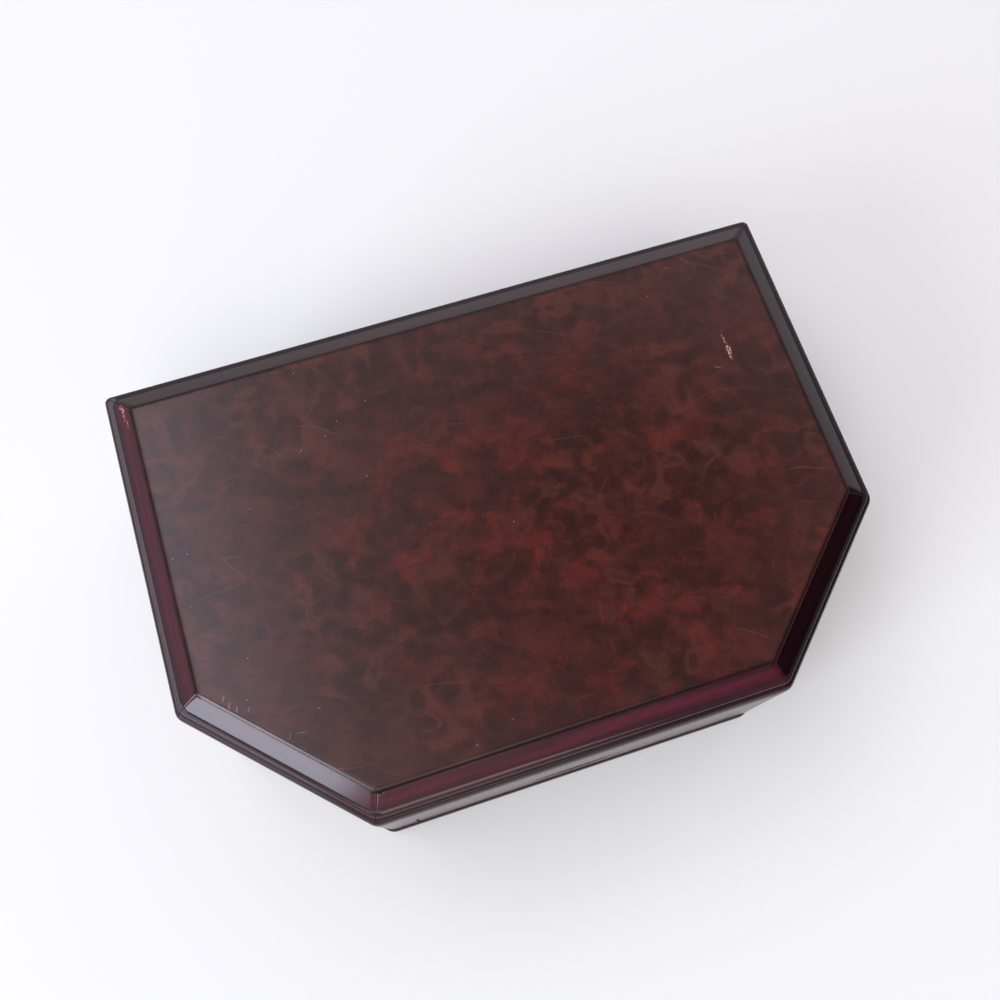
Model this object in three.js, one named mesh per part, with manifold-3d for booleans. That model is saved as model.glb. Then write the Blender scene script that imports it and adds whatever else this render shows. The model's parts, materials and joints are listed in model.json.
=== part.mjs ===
// Wooden jewelry box with two canted front corners, a moulded lid and one drawer.
// Millimetres, +Z up, front towards -Y. The origin is under the middle of the box,
// on the surface that it stands on.

import * as THREE from 'three';
import { mergeVertices } from 'three/addons/utils/BufferGeometryUtils.js';
import Module from 'manifold-3d';

const wasm = await Module();
wasm.setup();

// Plan: a rectangle with both front corners cut off at 45 degrees. Every other outline
// of the box is this one moved inwards by an inset; a negative inset moves it outwards.
const HALF_WIDTH = 152.8;
const HALF_DEPTH = 105.1;
const CANT_LEG = 64.8;
const CANT_ANGLE = 45;
const CANT_ROUND = 6;
const BACK_ROUND = 2.5;
const INNER_ROUND = 0.6;

// Heights above the table
const FELT_THICKNESS = 1;
const BASE_TOP = 9;
const SHELF_LOW = 42;
const SHELF_TOP = 46;
const WALL_TOP = 88.2;
const LID_LOW = 88.6;

// Board thickness and eased edges, and the gaps that joints and loose pieces keep
const WALL = 9;
const EASED = 0.6;
const MITRE_GAP = 0.1;
const SEAT_GAP = 0.1;
const LOOSE_GAP = 0.3;

// Base board, and the felt under it
const BASE_PROUD = 0.8;
const BASE_ROUND_TOP = 2.4;
const BASE_ROUND_LOW = 1.5;
const FELT_INSET = 6;

// Lid: insets from the plan outline, and heights above LID_LOW. Between the end of the cove
// and the panel an open quirk is left.
const LID_ROUND_LOW = 0.9;
const OVOLO_LOW = 1.4;
const OVOLO_HIGH = 4.9;
const OVOLO_INSET = 1.7;
const LIP_BEAD_INSET = 2.4;
const LIP_BEAD_LOW = 5.5;
const LIP_INSET = 3.1;
const LIP_HEIGHT = 6.4;
const COVE_START = 4.2;
const COVE_HOLLOW = [8, 7.8];
const COVE_END = 11.6;
const COVE_HIGH = 10.6;
const LID_THICKNESS = 13.4;
const PANEL_INSET = 13;
const PANEL_EDGE = 2.5;
const PANEL_LOW = 8.9;
const PANEL_ROUND = 8;
const PANEL_BACK_ROUND = 3.2;
const RAIL_INNER = 22;

// Mirror and its beads, heights above LID_LOW
const MIRROR_LOW = 5.7;
const MIRROR_HIGH = 8.7;
const BEAD_LOW = 1.6;
const BEAD_WIDTH = 4.6;
const BEAD_EDGE = 1;

// Hinges let in between the lid and the back wall. The pin lies in the seam, where the bevels
// along the back of the lid and of the wall meet: they close on each other at 100 degrees,
// and so stop the open lid.
const BACK_BEVEL = 50;
const HINGE_X = 95;
const HINGE_LENGTH = 32;
const LEAF_WIDTH = 6.4;
const LEAF_THICKNESS = 1;
const KNUCKLES = 5;
const KNUCKLE_GAP = 0.25;
const KNUCKLE_RADIUS = 1.7;
const KNUCKLE_ROOT = 1;
const BARREL_CLEARANCE = 0.25;
const PIN_RADIUS = 0.8;
const PIN_CLEARANCE = 0.1;
const PIN_FROM_BACK = 2;
const PIN_Y = HALF_DEPTH - PIN_FROM_BACK;
const PIN_Z = (WALL_TOP + LID_LOW) / 2;

// Drawer and its opening in the front
const OPENING_HALF = 75;
const DRAWER_GAP = 0.6;
const DRAWER_SIDE = 5.6;
const DRAWER_SIDE_OUTER = 74.2;
const DRAWER_SIDE_TOP = 39.5;
const DRAWER_BACK_Y = 88;
const DRAWER_FLOOR_LOW = 12.3;
const DRAWER_FLOOR_HIGH = 15.3;
const GROOVE_DEPTH = 2;
const DRAWER_CROSS_Y = -14;
const DRAWER_DIVIDER_TOP = 35;
const SCOOP_WIDTH = 46;
const SCOOP_DEPTH = 9;
const GUIDE_THICKNESS = 6;
const STOP_HALF = 30;
const STOP_TOP = 17;

// Fitted interior
const CARD = 1.5;
const PAD = 2;
const LINING_DROP = 2;
const DIVIDER = 3;
const DIVIDER_HEIGHT = 32;
const LONG_DIVIDER_X = 48.5;
const SIDE_CROSS_Y = 19;
const CENTRE_CROSS_Y = 31.5;

// Ring rolls. ROLL_ENDS says how far from its end a roll reaches which share of its full size,
// and the powers say how square the cloth lies at the sides, over the top and underneath.
const ROLLS = 5;
const ROLL_HEIGHT = 20;
const ROLL_ENDS = [[0, 0.7], [0.8, 0.85], [2, 0.94], [4.5, 0.99]];
const ROLL_CROWN = 0.06;
const ROLL_WAIST = 0.6;
const ROLL_SIDE_POWER = 0.55;
const ROLL_TOP_POWER = 0.95;
const ROLL_FOOT_POWER = 0.35;

// How finely round forms are divided
const CORNER_STEPS = 5;
const EDGE_STEPS = 3;
const ARRIS_STEPS = 4;
const ROUND_STEPS = 5;
const OVOLO_STEPS = 6;
const COVE_STEPS = 10;
const ROD_SIDES = 24;
const SCOOP_SIDES = 96;
const DIVIDER_TOP_STEPS = 8;
const ROLL_POINTS = 20;

// Two vertices nearer than this are one, and a cutter reaches this far past what it cuts.
const SAME_POINT = 1e-4;
const PAST = 1;

const radians = THREE.MathUtils.degToRad;
const lerp = THREE.MathUtils.lerp;

const finish = (color, roughness, metalness = 0) =>
  new THREE.MeshStandardMaterial({ color, roughness, metalness });
const mahogany = finish(0x2a1012, 0.25);
const burl = finish(0x4a1f1c, 0.35);
const stainedWood = finish(0x3b1a14, 0.6);
const velvet = finish(0x5c1626, 0.95);
const silvered = finish(0xd8dde0, 0.03, 1);
const brass = finish(0xb58a3c, 0.3, 1);
const felt = finish(0x1c1a1a, 1);

const box = new THREE.Group();

function add(name, solid, material) {
  const mesh = new THREE.Mesh(toGeometry(solid), material);
  mesh.name = name;
  box.add(mesh);
}

// Solids

function toSolid(geometry) {
  geometry.deleteAttribute('normal');
  geometry.deleteAttribute('uv');
  const merged = mergeVertices(geometry, SAME_POINT);
  return new wasm.Manifold(new wasm.Mesh({
    numProp: 3,
    vertProperties: merged.attributes.position.array,
    triVerts: new Uint32Array(merged.index.array),
  }));
}

function toGeometry(solid) {
  const mesh = solid.getMesh();
  const geometry = new THREE.BufferGeometry();
  geometry.setAttribute('position', new THREE.BufferAttribute(mesh.vertProperties, 3));
  geometry.setIndex(new THREE.BufferAttribute(mesh.triVerts, 1));
  return geometry;
}

function block(x0, x1, y0, y1, z0, z1) {
  const geometry = new THREE.BoxGeometry(x1 - x0, y1 - y0, z1 - z0);
  return toSolid(geometry.translate((x0 + x1) / 2, (y0 + y1) / 2, (z0 + z1) / 2));
}

function prism(points, low, high) {
  const shape = new THREE.Shape(points.map(([x, y]) => new THREE.Vector2(x, y)));
  const geometry = new THREE.ExtrudeGeometry(shape, { depth: high - low, bevelEnabled: false });
  return toSolid(geometry.translate(0, 0, low));
}

// A bar along X whose section is given in the YZ plane
function bar(section, x0, x1) {
  const shape = new THREE.Shape(section.map(([y, z]) => new THREE.Vector2(y, z)));
  const geometry = new THREE.ExtrudeGeometry(shape, { depth: x1 - x0, bevelEnabled: false });
  const turn = new THREE.Matrix4().makeBasis(
    new THREE.Vector3(0, 1, 0), new THREE.Vector3(0, 0, 1), new THREE.Vector3(1, 0, 0));
  return toSolid(geometry.applyMatrix4(turn).translate(x0, 0, 0));
}

function rod(radius, x0, x1, y, z) {
  const geometry = new THREE.CylinderGeometry(radius, radius, x1 - x0, ROD_SIDES);
  return toSolid(geometry.rotateZ(Math.PI / 2).translate((x0 + x1) / 2, y, z));
}

// Skin through rings with equal numbers of points, each ring counter-clockwise seen from
// ahead. A closed skin joins its last ring to its first; an open one is capped at both ends.
function skin(rings, closed) {
  const count = rings[0].length;
  const last = (rings.length - 1) * count;
  const index = [];
  for (let r = 0; r < (closed ? rings.length : rings.length - 1); r++) {
    const here = r * count;
    const next = ((r + 1) % rings.length) * count;
    for (let i = 0; i < count; i++) {
      const j = (i + 1) % count;
      index.push(here + i, here + j, next + j, here + i, next + j, next + i);
    }
  }
  for (let i = 1; !closed && i < count - 1; i++) {
    index.push(0, i + 1, i, last, last + i, last + i + 1);
  }
  const geometry = new THREE.BufferGeometry();
  geometry.setAttribute('position', new THREE.Float32BufferAttribute(rings.flat(2), 3));
  geometry.setIndex(index);
  return toSolid(geometry);
}

// Points of a quarter ellipse from one profile point to another, which leaves the first
// either upright or level
function quarter([x0, z0], [x1, z1], steps, start) {
  return Array.from({ length: steps + 1 }, (_, i) => {
    const t = (Math.PI / 2) * (i / steps);
    const across = start === 'upright' ? 1 - Math.cos(t) : Math.sin(t);
    const up = start === 'upright' ? Math.sin(t) : 1 - Math.cos(t);
    return [lerp(x0, x1, across), lerp(z0, z1, up)];
  });
}

// Plan outline. Side k runs counter-clockwise from corner k - 1 to corner k. A corner's
// round starts in the direction `from` and turns by `turn`, in degrees.

const SIDES = ['front', 'right_cant', 'right', 'back', 'left', 'left_cant'];
const CORNERS = [
  { from: 270, turn: CANT_ANGLE },
  { from: 270 + CANT_ANGLE, turn: CANT_ANGLE },
  { from: 0, turn: 90 },
  { from: 90, turn: 90 },
  { from: 180, turn: CANT_ANGLE },
  { from: 180 + CANT_ANGLE, turn: CANT_ANGLE },
];

function cornerPoints(inset) {
  const x = HALF_WIDTH - inset;
  const y = HALF_DEPTH - inset;
  const drawnIn = inset * Math.tan(radians(CANT_ANGLE / 2));
  const frontX = HALF_WIDTH - CANT_LEG - drawnIn;
  const sideY = CANT_LEG - HALF_DEPTH + drawnIn;
  return [[frontX, -y], [x, sideY], [x, y], [-x, y], [-x, sideY], [-frontX, -y]];
}

function outline(inset, z, cantRound, backRound) {
  return cornerPoints(inset).flatMap(([x, y], k) => {
    const { from, turn } = CORNERS[k];
    const radius = turn === 90 ? backRound : cantRound;
    const reach = radius / Math.cos(radians(turn / 2));
    const middle = radians(from + turn / 2);
    return Array.from({ length: CORNER_STEPS + 1 }, (_, i) => {
      const angle = radians(from + (turn * i) / CORNER_STEPS);
      return [
        x - reach * Math.cos(middle) + radius * Math.cos(angle),
        y - reach * Math.sin(middle) + radius * Math.sin(angle),
        z,
      ];
    });
  });
}

const outerOutline = ([inset, z]) => outline(inset, z, CANT_ROUND, BACK_ROUND);
const innerOutline = ([inset, z]) => outline(inset, z, INNER_ROUND, INNER_ROUND);

// The lid's corners grow rounder from the lip to the panel.
function lidOutline([inset, z]) {
  const share = Math.min(inset / PANEL_INSET, 1);
  return outline(inset, LID_LOW + z, lerp(CANT_ROUND, PANEL_ROUND, share),
    lerp(BACK_ROUND, PANEL_BACK_ROUND, share));
}

// A frame is swept round the plan as one ring and then cut into six pieces, which meet
// on the mitre planes through the corners.
function sidePiece(frame, k, outer, inner, low, high) {
  const before = (k + SIDES.length - 1) % SIDES.length;
  const outside = cornerPoints(outer - PAST).map(([x, y]) => new THREE.Vector2(x, y));
  const inside = cornerPoints(inner + PAST).map(([x, y]) => new THREE.Vector2(x, y));
  const along = outside[k].clone().sub(outside[before]).normalize();
  const halfGap = (corner) => MITRE_GAP / 2 / Math.cos(radians(CORNERS[corner].turn / 2));
  const start = along.clone().multiplyScalar(halfGap(before));
  const end = along.clone().multiplyScalar(-halfGap(k));
  const wedge = [outside[before].add(start), outside[k].add(end), inside[k].add(end),
    inside[before].add(start)];
  return frame.intersect(prism(wedge.map((p) => [p.x, p.y]), low - PAST, high + PAST));
}

// Hinges: two leaves and a pin each, and what is cut for them from the lid or the wall

const HINGES = { left: -HINGE_X, right: HINGE_X };

function hingeLeaf(x, low, ownKnuckle) {
  const start = x - HINGE_LENGTH / 2;
  const high = low + LEAF_THICKNESS;
  const clear = KNUCKLE_RADIUS + LOOSE_GAP;
  let leaf = block(start, start + HINGE_LENGTH, PIN_Y - LEAF_WIDTH, PIN_Y - clear, low, high);
  const length = (HINGE_LENGTH - (KNUCKLES - 1) * KNUCKLE_GAP) / KNUCKLES;
  for (let k = ownKnuckle; k < KNUCKLES; k += 2) {
    const x0 = start + k * (length + KNUCKLE_GAP);
    const root = block(x0, x0 + length, PIN_Y - clear - KNUCKLE_ROOT, PIN_Y, low, high);
    leaf = leaf.add(root).add(rod(KNUCKLE_RADIUS, x0, x0 + length, PIN_Y, PIN_Z));
  }
  const bore = rod(PIN_RADIUS + PIN_CLEARANCE, start - PAST, start + HINGE_LENGTH + PAST, PIN_Y, PIN_Z);
  return leaf.subtract(bore);
}

// up is 1 for the cuts above the seam, in the lid, and -1 for those below it, in the walls
function bevelBack(ring, up) {
  const beyond = HALF_DEPTH + PAST;
  const rise = up * (beyond - PIN_Y) * Math.tan(radians(BACK_BEVEL));
  return ring.subtract(bar([[PIN_Y, PIN_Z], [beyond, PIN_Z], [beyond, PIN_Z + rise]],
    -HALF_WIDTH - PAST, HALF_WIDTH + PAST));
}

function letInHinges(piece, up) {
  const deep = PIN_Z + up * ((LID_LOW - WALL_TOP) / 2 + LEAF_THICKNESS + 2 * SEAT_GAP);
  const half = HINGE_LENGTH / 2 + SEAT_GAP;
  return Object.values(HINGES).reduce((rest, x) => rest
    .subtract(rod(KNUCKLE_RADIUS + BARREL_CLEARANCE, x - half, x + half, PIN_Y, PIN_Z))
    .subtract(block(x - half, x + half, PIN_Y - LEAF_WIDTH - SEAT_GAP, PIN_Y,
      Math.min(PIN_Z, deep), Math.max(PIN_Z, deep))), piece);
}

// Base

const baseProfile = [
  ...quarter([BASE_ROUND_LOW - BASE_PROUD, FELT_THICKNESS],
    [-BASE_PROUD, FELT_THICKNESS + BASE_ROUND_LOW], EDGE_STEPS, 'level'),
  ...quarter([-BASE_PROUD, BASE_TOP - BASE_ROUND_TOP],
    [BASE_ROUND_TOP - BASE_PROUD, BASE_TOP], ROUND_STEPS, 'upright'),
];
add('base_felt', skin([[FELT_INSET, 0], [FELT_INSET, FELT_THICKNESS]].map(outerOutline), false), felt);
add('base_board', skin(baseProfile.map(outerOutline), false), mahogany);

// Case walls: one ring of board, mitred at the corners. The front is a rail over the drawer
// with a stile at each side of it.

const WALL_LOW = BASE_TOP + SEAT_GAP;
const wallRing = bevelBack(skin([
  outerOutline([EASED, WALL_LOW]),
  outerOutline([0, WALL_LOW + EASED]),
  outerOutline([0, WALL_TOP - EASED]),
  outerOutline([EASED, WALL_TOP]),
  innerOutline([WALL, WALL_TOP]),
  innerOutline([WALL, WALL_LOW]),
], true), -1);

const frontPart = (wall, x0, x1, low, high) =>
  wall.intersect(block(x0, x1, -HALF_DEPTH - PAST, -HALF_DEPTH + WALL + PAST, low, high));

SIDES.forEach((side, k) => {
  const wall = sidePiece(wallRing, k, 0, WALL, WALL_LOW, WALL_TOP);
  if (side === 'back') {
    add('wall_back', letInHinges(wall, -1), mahogany);
  } else if (side === 'front') {
    add('front_rail', frontPart(wall, -HALF_WIDTH, HALF_WIDTH, SHELF_LOW + SEAT_GAP, LID_LOW), mahogany);
    add('front_stile_left', frontPart(wall, -HALF_WIDTH, -OPENING_HALF, 0, SHELF_LOW), mahogany);
    add('front_stile_right', frontPart(wall, OPENING_HALF, HALF_WIDTH, 0, SHELF_LOW), mahogany);
  } else {
    add(`wall_${side}`, wall, mahogany);
  }
});

// Inside the case: the shelf under the upper tray, carried by the two drawer guides

const innerBack = HALF_DEPTH - WALL;
add('shelf_board', skin(
  [[WALL + SEAT_GAP, SHELF_LOW], [WALL + SEAT_GAP, SHELF_TOP]].map(innerOutline), false), stainedWood);
for (const [side, sign] of [['left', -1], ['right', 1]]) {
  const edges = [sign * OPENING_HALF, sign * (OPENING_HALF + GUIDE_THICKNESS)].sort((a, b) => a - b);
  add(`drawer_guide_${side}`, block(...edges, -innerBack + 2 * SEAT_GAP, innerBack - SEAT_GAP,
    WALL_LOW, SHELF_LOW - SEAT_GAP), stainedWood);
}
add('drawer_stop', block(-STOP_HALF, STOP_HALF, DRAWER_BACK_Y + LOOSE_GAP, innerBack - SEAT_GAP,
  WALL_LOW, STOP_TOP), stainedWood);

// Upper tray: floor pad, lining strip round the walls, dividers and ring rolls

const padLow = SHELF_TOP + SEAT_GAP;
const trayFloor = padLow + PAD;
const liningInset = WALL + SEAT_GAP + CARD;
add('tray_floor_pad', skin(
  [[WALL + 2 * SEAT_GAP, padLow], [WALL + 2 * SEAT_GAP, trayFloor]].map(innerOutline), false), velvet);
add('tray_lining', skin([
  innerOutline([WALL + SEAT_GAP, trayFloor + SEAT_GAP]),
  innerOutline([WALL + SEAT_GAP, WALL_TOP - LINING_DROP]),
  innerOutline([liningInset, WALL_TOP - LINING_DROP]),
  innerOutline([liningInset, trayFloor + SEAT_GAP]),
], true), velvet);

// A divider is a board with a rounded top, covered in velvet. It runs along the longer
// of its two sides.
function addDivider(name, x0, x1, y0, y1, low, top) {
  const alongX = x1 - x0 > y1 - y0;
  const length = alongX ? x1 - x0 : y1 - y0;
  const half = (alongX ? y1 - y0 : x1 - x0) / 2;
  const section = new THREE.Shape();
  section.moveTo(-half, low);
  section.lineTo(half, low);
  section.absarc(0, top - half, half, 0, Math.PI);
  const geometry = new THREE.ExtrudeGeometry(section,
    { depth: length, bevelEnabled: false, curveSegments: DIVIDER_TOP_STEPS });
  geometry.translate(0, 0, -length / 2).rotateX(Math.PI / 2);
  if (alongX) {
    geometry.rotateZ(Math.PI / 2);
  }
  add(name, toSolid(geometry.translate((x0 + x1) / 2, (y0 + y1) / 2, 0)), velvet);
}

const trayX = HALF_WIDTH - liningInset - LOOSE_GAP;
const trayY = HALF_DEPTH - liningInset - LOOSE_GAP;
const dividerLow = trayFloor + 2 * SEAT_GAP;
const dividerTop = dividerLow + DIVIDER_HEIGHT;
const bayEdge = LONG_DIVIDER_X + DIVIDER / 2 + LOOSE_GAP;
const centreEdge = LONG_DIVIDER_X - DIVIDER / 2 - LOOSE_GAP;

for (const [side, x] of [['left', -LONG_DIVIDER_X], ['right', LONG_DIVIDER_X]]) {
  addDivider(`tray_divider_${side}`, x - DIVIDER / 2, x + DIVIDER / 2, -trayY, trayY, dividerLow, dividerTop);
}
const sideCross = [SIDE_CROSS_Y - DIVIDER / 2, SIDE_CROSS_Y + DIVIDER / 2, dividerLow, dividerTop];
addDivider('tray_cross_left', -trayX, -bayEdge, ...sideCross);
addDivider('tray_cross_right', bayEdge, trayX, ...sideCross);
addDivider('tray_cross_centre', -centreEdge, centreEdge,
  CENTRE_CROSS_Y - DIVIDER / 2, CENTRE_CROSS_Y + DIVIDER / 2, dividerLow, dividerTop);

// A ring roll is a bolster: flat below, pressed flat at its sides, round on top, with its
// ends drawn in and a slight crown along its length.
function ringRoll(x0, x1, y0, y1, low) {
  const stations = [
    ...ROLL_ENDS.map(([along, size]) => [x0 + along, size]),
    ...[0.25, 0.5, 0.75].map((share) => [lerp(x0, x1, share), 1]),
    ...ROLL_ENDS.toReversed().map(([along, size]) => [x1 - along, size]),
  ];
  return skin(stations.map(([x, size]) => {
    const crown = 1 - ROLL_CROWN * (1 - Math.sin(Math.PI * (x - x0) / (x1 - x0)));
    const top = low + ROLL_HEIGHT * size * crown;
    const waist = lerp(low, top, ROLL_WAIST);
    return Array.from({ length: ROLL_POINTS }, (_, i) => {
      const angle = (2 * Math.PI * (i + 0.5)) / ROLL_POINTS;
      const across = Math.sign(Math.cos(angle)) * Math.abs(Math.cos(angle)) ** ROLL_SIDE_POWER;
      const up = Math.sin(angle);
      const z = up > 0
        ? lerp(waist, top, up ** ROLL_TOP_POWER)
        : lerp(waist, low, Math.abs(up) ** ROLL_FOOT_POWER);
      return [x, (y0 + y1) / 2 + ((y1 - y0) / 2) * size * across, z];
    });
  }), false);
}

const rollsLow = SIDE_CROSS_Y + DIVIDER / 2 + LOOSE_GAP;
const rollPitch = (trayY - rollsLow + LOOSE_GAP) / ROLLS;
for (let i = 0; i < ROLLS; i++) {
  const y0 = rollsLow + i * rollPitch;
  add(`ring_roll_${i + 1}`, ringRoll(-trayX, -bayEdge, y0, y0 + rollPitch - LOOSE_GAP, dividerLow), velvet);
}

// Lid: six mitred rails round a burl panel, with the mirror under it held by six beads

const railProfile = [
  ...quarter([LID_ROUND_LOW, 0], [0, LID_ROUND_LOW], EDGE_STEPS, 'level'),
  ...quarter([0, OVOLO_LOW], [OVOLO_INSET, OVOLO_HIGH], OVOLO_STEPS, 'upright'),
  [LIP_BEAD_INSET, OVOLO_HIGH],
  ...quarter([LIP_BEAD_INSET, LIP_BEAD_LOW], [LIP_INSET, LIP_HEIGHT], EDGE_STEPS, 'upright'),
  ...new THREE.QuadraticBezierCurve(
    new THREE.Vector2(COVE_START, LIP_HEIGHT),
    new THREE.Vector2(...COVE_HOLLOW),
    new THREE.Vector2(COVE_END, COVE_HIGH),
  ).getPoints(COVE_STEPS).map((p) => [p.x, p.y]),
  [COVE_END, PANEL_LOW - SEAT_GAP],
  [RAIL_INNER, PANEL_LOW - SEAT_GAP],
  [RAIL_INNER, 0],
];
const railRing = bevelBack(skin(railProfile.map(lidOutline), true), 1);

const beadOuter = RAIL_INNER + SEAT_GAP;
const beadInner = beadOuter + BEAD_WIDTH;
const beadTop = MIRROR_LOW - SEAT_GAP;
const beadRing = skin([
  [beadOuter, BEAD_LOW],
  [beadOuter, beadTop],
  [beadInner, beadTop],
  ...quarter([beadOuter + BEAD_EDGE, BEAD_LOW], [beadInner, beadTop - BEAD_EDGE], ROUND_STEPS, 'level')
    .toReversed(),
].map(lidOutline), true);

const lidTop = LID_LOW + LID_THICKNESS;
SIDES.forEach((side, k) => {
  const rail = sidePiece(railRing, k, 0, RAIL_INNER, LID_LOW, lidTop);
  const bead = sidePiece(beadRing, k, beadOuter, beadInner, LID_LOW, lidTop);
  add(`lid_rail_${side}`, side === 'back' ? letInHinges(rail, 1) : rail, mahogany);
  add(`mirror_bead_${side}`, bead, mahogany);
});

add('lid_panel', skin([
  [PANEL_INSET, PANEL_LOW],
  ...quarter([PANEL_INSET, COVE_HIGH], [PANEL_INSET + PANEL_EDGE, LID_THICKNESS], ARRIS_STEPS, 'upright'),
].map(lidOutline), false), burl);
add('lid_mirror', skin([
  lidOutline([RAIL_INNER + LOOSE_GAP, MIRROR_LOW]),
  lidOutline([RAIL_INNER + LOOSE_GAP, MIRROR_HIGH]),
], false), silvered);

for (const [side, x] of Object.entries(HINGES)) {
  const halfPin = HINGE_LENGTH / 2;
  add(`hinge_case_leaf_${side}`, hingeLeaf(x, WALL_TOP - SEAT_GAP - LEAF_THICKNESS, 0), brass);
  add(`hinge_lid_leaf_${side}`, hingeLeaf(x, LID_LOW + SEAT_GAP, 1), brass);
  add(`hinge_pin_${side}`, rod(PIN_RADIUS, x - halfPin, x + halfPin, PIN_Y, PIN_Z), brass);
}

// Drawer: the front has a scoop for a finger in its top edge, and the floor slides in
// grooves in the front and the sides.

const frontBack = -HALF_DEPTH + WALL;
const frontLow = BASE_TOP + DRAWER_GAP;
const frontTop = SHELF_LOW - DRAWER_GAP;
const frontHalf = OPENING_HALF - DRAWER_GAP;
const sideInner = DRAWER_SIDE_OUTER - DRAWER_SIDE;
const grooveLow = DRAWER_FLOOR_LOW - SEAT_GAP;
const grooveHigh = DRAWER_FLOOR_HIGH + SEAT_GAP;
const grooveHalf = sideInner + GROOVE_DEPTH;

function drawerFront() {
  const face = ([inset, y]) => [
    [frontHalf - inset, y, frontLow + inset],
    [inset - frontHalf, y, frontLow + inset],
    [inset - frontHalf, y, frontTop - inset],
    [frontHalf - inset, y, frontTop - inset],
  ];
  const board = skin([[EASED, -HALF_DEPTH], [0, -HALF_DEPTH + EASED], [0, frontBack]].map(face), false);
  const radius = (SCOOP_WIDTH ** 2 / 4 + SCOOP_DEPTH ** 2) / (2 * SCOOP_DEPTH);
  const scoop = new THREE.CylinderGeometry(radius, radius, WALL + 2 * PAST, SCOOP_SIDES)
    .translate(0, -HALF_DEPTH + WALL / 2, frontTop - SCOOP_DEPTH + radius);
  const groove = block(-grooveHalf, grooveHalf, frontBack - GROOVE_DEPTH, frontBack + PAST,
    grooveLow, grooveHigh);
  return board.subtract(toSolid(scoop)).subtract(groove);
}

add('drawer_front', drawerFront(), mahogany);
for (const [side, sign] of [['left', -1], ['right', 1]]) {
  const faces = [sign * sideInner, sign * DRAWER_SIDE_OUTER].sort((a, b) => a - b);
  const groove = [sign * (sideInner - PAST), sign * grooveHalf].sort((a, b) => a - b);
  const board = block(...faces, frontBack + SEAT_GAP, DRAWER_BACK_Y, BASE_TOP + LOOSE_GAP, DRAWER_SIDE_TOP);
  add(`drawer_side_${side}`,
    board.subtract(block(...groove, frontBack, DRAWER_BACK_Y + PAST, grooveLow, grooveHigh)), stainedWood);
}
const drawerInnerHalf = sideInner - SEAT_GAP;
const drawerInnerBack = DRAWER_BACK_Y - DRAWER_SIDE;
add('drawer_back', block(-drawerInnerHalf, drawerInnerHalf, drawerInnerBack, DRAWER_BACK_Y,
  grooveHigh, DRAWER_SIDE_TOP), stainedWood);
add('drawer_bottom', block(-grooveHalf + SEAT_GAP, grooveHalf - SEAT_GAP,
  frontBack - GROOVE_DEPTH + SEAT_GAP, DRAWER_BACK_Y, DRAWER_FLOOR_LOW, DRAWER_FLOOR_HIGH), stainedWood);

const drawerPadTop = grooveHigh + CARD;
const drawerDivider = [drawerPadTop + SEAT_GAP, DRAWER_DIVIDER_TOP];
const insideX = sideInner - LOOSE_GAP;
add('drawer_floor_pad', block(-insideX, insideX, frontBack + LOOSE_GAP, drawerInnerBack - LOOSE_GAP,
  grooveHigh, drawerPadTop), velvet);
addDivider('drawer_cross', -insideX, insideX,
  DRAWER_CROSS_Y - DIVIDER / 2, DRAWER_CROSS_Y + DIVIDER / 2, ...drawerDivider);
addDivider('drawer_divider', -DIVIDER / 2, DIVIDER / 2,
  DRAWER_CROSS_Y + DIVIDER / 2 + LOOSE_GAP, drawerInnerBack - LOOSE_GAP, ...drawerDivider);

export default box;
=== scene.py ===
"""A wooden jewelry box with canted front corners, a burl panel in its moulded lid, a fitted
velvet tray and one drawer. Built in the order in which the box is put together."""

import json
import math

import bpy
from mathutils import Matrix, Vector

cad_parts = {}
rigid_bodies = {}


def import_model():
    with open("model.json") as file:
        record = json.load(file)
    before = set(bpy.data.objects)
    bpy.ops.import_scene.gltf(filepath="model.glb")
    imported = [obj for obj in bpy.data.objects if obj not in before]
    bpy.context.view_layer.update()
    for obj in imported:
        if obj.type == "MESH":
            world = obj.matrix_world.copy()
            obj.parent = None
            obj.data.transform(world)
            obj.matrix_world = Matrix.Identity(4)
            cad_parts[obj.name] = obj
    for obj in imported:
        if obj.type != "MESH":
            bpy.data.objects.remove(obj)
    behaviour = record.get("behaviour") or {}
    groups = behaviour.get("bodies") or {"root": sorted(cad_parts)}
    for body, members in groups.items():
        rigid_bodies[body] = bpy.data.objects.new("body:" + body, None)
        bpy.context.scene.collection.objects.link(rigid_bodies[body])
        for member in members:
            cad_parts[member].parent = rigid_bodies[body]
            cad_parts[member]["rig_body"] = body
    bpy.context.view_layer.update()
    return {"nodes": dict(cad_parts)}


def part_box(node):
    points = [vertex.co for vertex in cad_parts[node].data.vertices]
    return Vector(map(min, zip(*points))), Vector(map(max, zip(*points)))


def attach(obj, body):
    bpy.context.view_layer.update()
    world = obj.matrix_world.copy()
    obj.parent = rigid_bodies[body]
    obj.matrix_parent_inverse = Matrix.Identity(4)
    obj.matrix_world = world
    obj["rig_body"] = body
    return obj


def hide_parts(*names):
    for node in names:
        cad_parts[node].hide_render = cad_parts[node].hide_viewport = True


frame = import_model()
bpy.ops.object.select_all(action="DESELECT")
MM = 0.001

# Camera, as the photograph was taken: held over the front left of the box and looking
# steeply down on the lid, with a slight tilt of the hand.
CAMERA_PLACE = Vector((-51.36, -124.86, 526.58)) * MM
LOOKED_AT = Vector((-1.71, 5.14, 102.0)) * MM
TILT = math.radians(3.18)

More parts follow.
